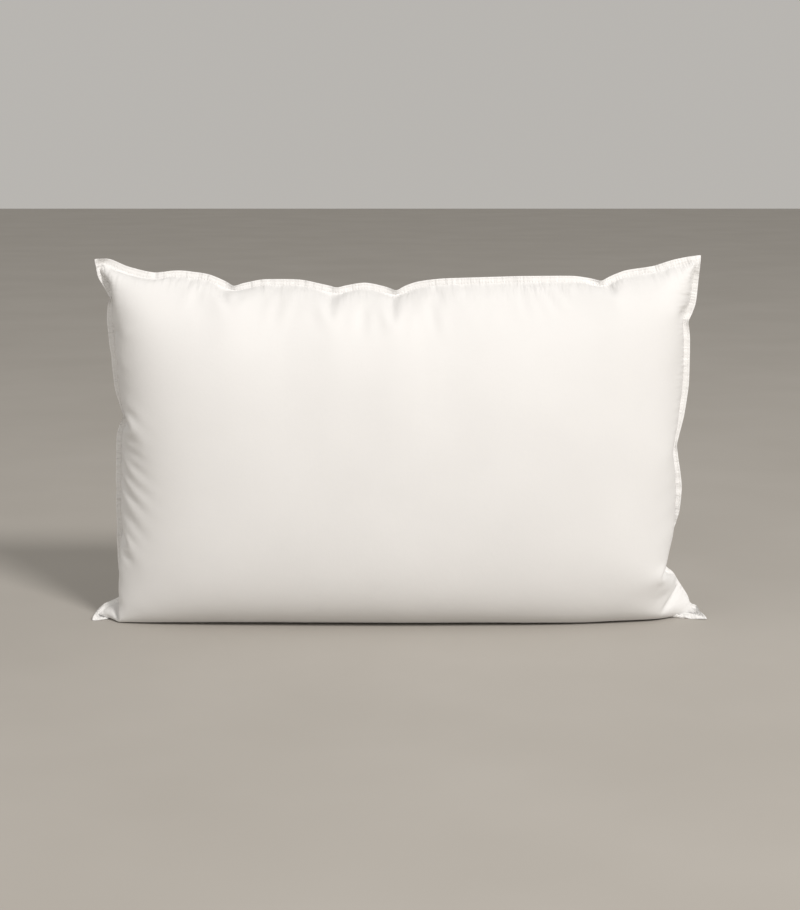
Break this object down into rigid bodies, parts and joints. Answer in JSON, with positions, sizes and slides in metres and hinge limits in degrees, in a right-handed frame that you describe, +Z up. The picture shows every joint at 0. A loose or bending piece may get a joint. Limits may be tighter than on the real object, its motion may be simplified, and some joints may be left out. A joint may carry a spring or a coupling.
{
  "type": "bed pillow",
  "caption": "Filled bed pillow with a narrow topstitched flange, standing upright on one long edge.",
  "frame": {"origin": "middle of the base, on the surface that the pillow stands on", "axes": "+X along the long edges, +Y from the front panel to the back panel, +Z up along the short edges"},
  "size_m": [0.744, 0.188, 0.435],
  "materials": {
    "percale": "smooth white cotton percale, down-proof, matte with a faint sheen",
    "down": "loose white down clusters",
    "ticking": "unbleached cotton ticking, matte",
    "feather": "packed small curled feathers",
    "thread": "white spun polyester sewing thread",
    "label_satin": "blank woven satin tape"
  },
  "bodies": {
    "root": {"shell_front": "percale", "shell_back": "percale", "down_fill_front": "down", "down_fill_back": "down", "core_cover_front": "ticking", "core_cover_back": "ticking", "core_fill": "feather", "assembly_seam_thread": "thread", "inner_needle_thread": "thread", "inner_bobbin_thread": "thread", "edge_needle_thread": "thread", "edge_bobbin_thread": "thread", "closing_thread": "thread", "care_label": "label_satin"}
  },
  "joints": []
}
